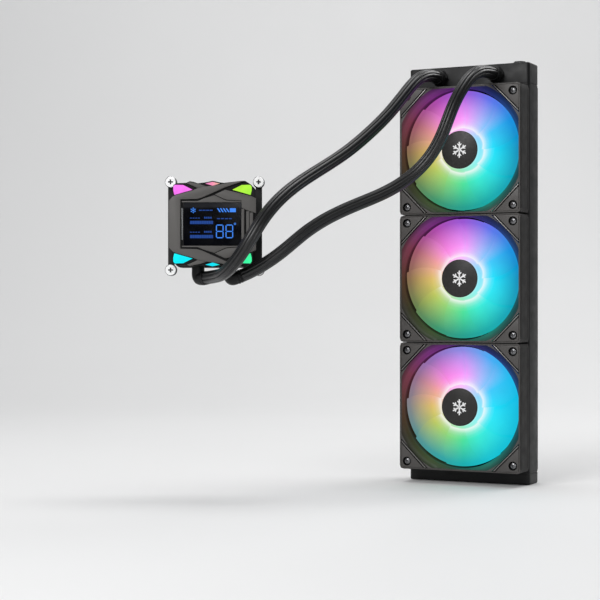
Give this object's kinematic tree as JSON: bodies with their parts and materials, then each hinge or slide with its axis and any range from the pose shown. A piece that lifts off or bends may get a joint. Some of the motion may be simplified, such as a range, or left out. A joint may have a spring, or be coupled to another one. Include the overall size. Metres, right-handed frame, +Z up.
{
  "type": "liquid cooling radiator",
  "caption": "Closed-loop processor liquid cooler: long slim radiator with lit axial fans, two flexible hoses and a square pump head with a screen.",
  "frame": {"origin": "centre of the lower tank's bottom face", "axes": "+X along the radiator's width, -Y the way the fans face, +Z up along the radiator"},
  "size_m": [0.2713, 0.2733, 0.3965],
  "materials": {
    "black_paint": "satin black powder coat",
    "fin_metal": "black coated aluminium fins",
    "frame_plastic": "fine grained dark grey moulding",
    "blade_plastic": "milky translucent, lit from the hub",
    "badge_plastic": "satin black disc",
    "magnet": "plastic bonded ferrite",
    "winding": "enamelled copper winding",
    "board": "green solder mask",
    "steel": "nickel plated",
    "copper": "machined copper",
    "rubber": "moulded rubber",
    "hose_sleeve": "black braided sleeve over rubber",
    "head_plastic": "satin black moulding",
    "impeller_plastic": "white moulding",
    "light_plastic": "frosted light guide",
    "screen_glass": "dark glass over a lit screen",
    "bezel_paint": "fine metallic dark grey paint"
  },
  "bodies": {
    "cooler": {"radiator_core": "fin_metal", "tank_lower": "black_paint", "tank_upper": "black_paint", "tank_divider": "black_paint", "fill_plug": "black_paint", "side_plate_left": "black_paint", "side_plate_right": "black_paint", "hose_port_left": "black_paint", "hose_port_right": "black_paint", "fan_frame_bottom": "frame_plastic", "fan_stator_bottom": "winding", "fan_led_board_bottom": "board", "fan_screw_bottom_1": "steel", "fan_screw_bottom_2": "steel", "fan_screw_bottom_3": "steel", "fan_screw_bottom_4": "steel", "fan_frame_middle": "frame_plastic", "fan_stator_middle": "winding", "fan_led_board_middle": "board", "fan_screw_middle_1": "steel", "fan_screw_middle_2": "steel", "fan_screw_middle_3": "steel", "fan_screw_middle_4": "steel", "fan_frame_top": "frame_plastic", "fan_stator_top": "winding", "fan_led_board_top": "board", "fan_screw_top_1": "steel", "fan_screw_top_2": "steel", "fan_screw_top_3": "steel", "fan_screw_top_4": "steel", "cold_plate": "copper", "cold_plate_gasket": "rubber", "pump_base": "head_plastic", "pump_shaft": "steel", "pump_chamber_lid": "head_plastic", "pump_stator": "winding", "control_board": "board", "pump_housing": "head_plastic", "light_guide": "light_plastic", "display": "screen_glass", "bezel": "bezel_paint", "retention_bracket": "black_paint", "elbow_outlet": "head_plastic", "elbow_inlet": "head_plastic", "hose_left": "hose_sleeve", "hose_right": "hose_sleeve"},
    "rotor_bottom": {"fan_rotor_bottom": "blade_plastic", "fan_badge_bottom": "badge_plastic", "fan_magnet_bottom": "magnet"},
    "rotor_middle": {"fan_rotor_middle": "blade_plastic", "fan_badge_middle": "badge_plastic", "fan_magnet_middle": "magnet"},
    "rotor_top": {"fan_rotor_top": "blade_plastic", "fan_badge_top": "badge_plastic", "fan_magnet_top": "magnet"},
    "impeller": {"pump_impeller": "impeller_plastic"},
    "screw_1": {"thumbscrew_1": "steel"},
    "screw_2": {"thumbscrew_2": "steel"},
    "screw_3": {"thumbscrew_3": "steel"},
    "screw_4": {"thumbscrew_4": "steel"}
  },
  "joints": [
    {"name": "fan_spin_bottom", "type": "hinge", "parent": "cooler", "child": "rotor_bottom", "pos_m": [0, -0.0275, 0.0725], "axis": [0, -1, 0], "continuous": true},
    {"name": "fan_spin_middle", "type": "hinge", "parent": "cooler", "child": "rotor_middle", "pos_m": [0, -0.0275, 0.1925], "axis": [0, -1, 0], "continuous": true},
    {"name": "fan_spin_top", "type": "hinge", "parent": "cooler", "child": "rotor_top", "pos_m": [0, -0.0275, 0.3125], "axis": [0, -1, 0], "continuous": true},
    {"name": "pump_spin", "type": "hinge", "parent": "cooler", "child": "impeller", "pos_m": [-0.16295, -0.21316, 0.238], "axis": [0.4462, -0.8949, 0], "continuous": true},
    {"name": "thumbscrew_slide_1", "type": "slide", "parent": "cooler", "child": "screw_1", "axis": [0.4462, -0.8949, 0], "range_m": [0, 0.003]},
    {"name": "thumbscrew_slide_2", "type": "slide", "parent": "cooler", "child": "screw_2", "axis": [0.4462, -0.8949, 0], "range_m": [0, 0.003]},
    {"name": "thumbscrew_slide_3", "type": "slide", "parent": "cooler", "child": "screw_3", "axis": [0.4462, -0.8949, 0], "range_m": [0, 0.003]},
    {"name": "thumbscrew_slide_4", "type": "slide", "parent": "cooler", "child": "screw_4", "axis": [0.4462, -0.8949, 0], "range_m": [0, 0.003]}
  ]
}
